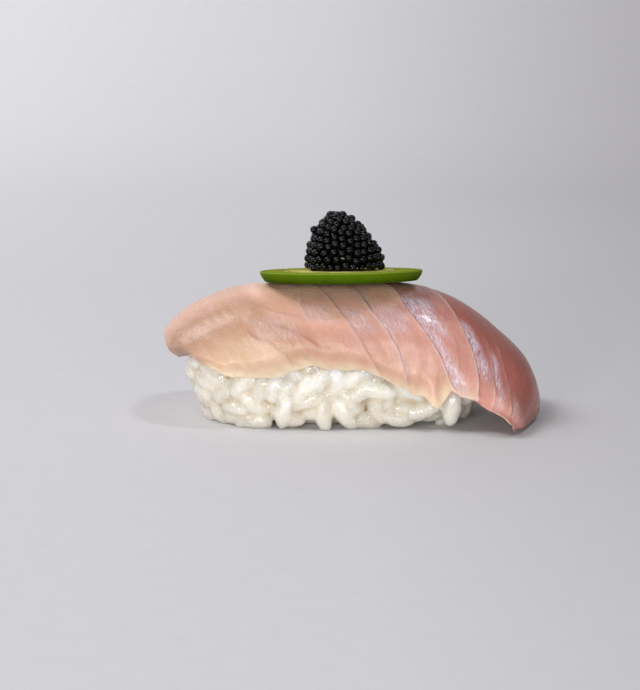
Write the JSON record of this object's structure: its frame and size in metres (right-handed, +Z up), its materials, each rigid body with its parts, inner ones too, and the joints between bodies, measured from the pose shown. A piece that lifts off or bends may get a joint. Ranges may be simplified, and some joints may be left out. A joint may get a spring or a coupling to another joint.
{
  "type": "yellowtail nigiri",
  "caption": "Pressed rice block under a draped slice of raw yellowtail, topped with a round slice of green chili and a small mound of black roe.",
  "frame": {"origin": "middle of the bounding box, on the surface that the rice stands on", "axes": "+X along the slice towards its hanging tail, +Z up, front of the slice towards -Y"},
  "size_m": [0.0694, 0.0368, 0.0374],
  "materials": {
    "rice_block": "cooked short grain rice, moist and slightly translucent",
    "yellowtail_slice": "raw fish, wet, pale pink to tan, slightly translucent",
    "chili_slice": "fresh green chili, smooth skin, wet cut face",
    "roe_mound": "black roe, wet and glossy"
  },
  "bodies": {
    "root": {"rice_block": "rice_block", "yellowtail_slice": "yellowtail_slice", "chili_slice": "chili_slice", "roe_mound": "roe_mound"}
  },
  "joints": []
}
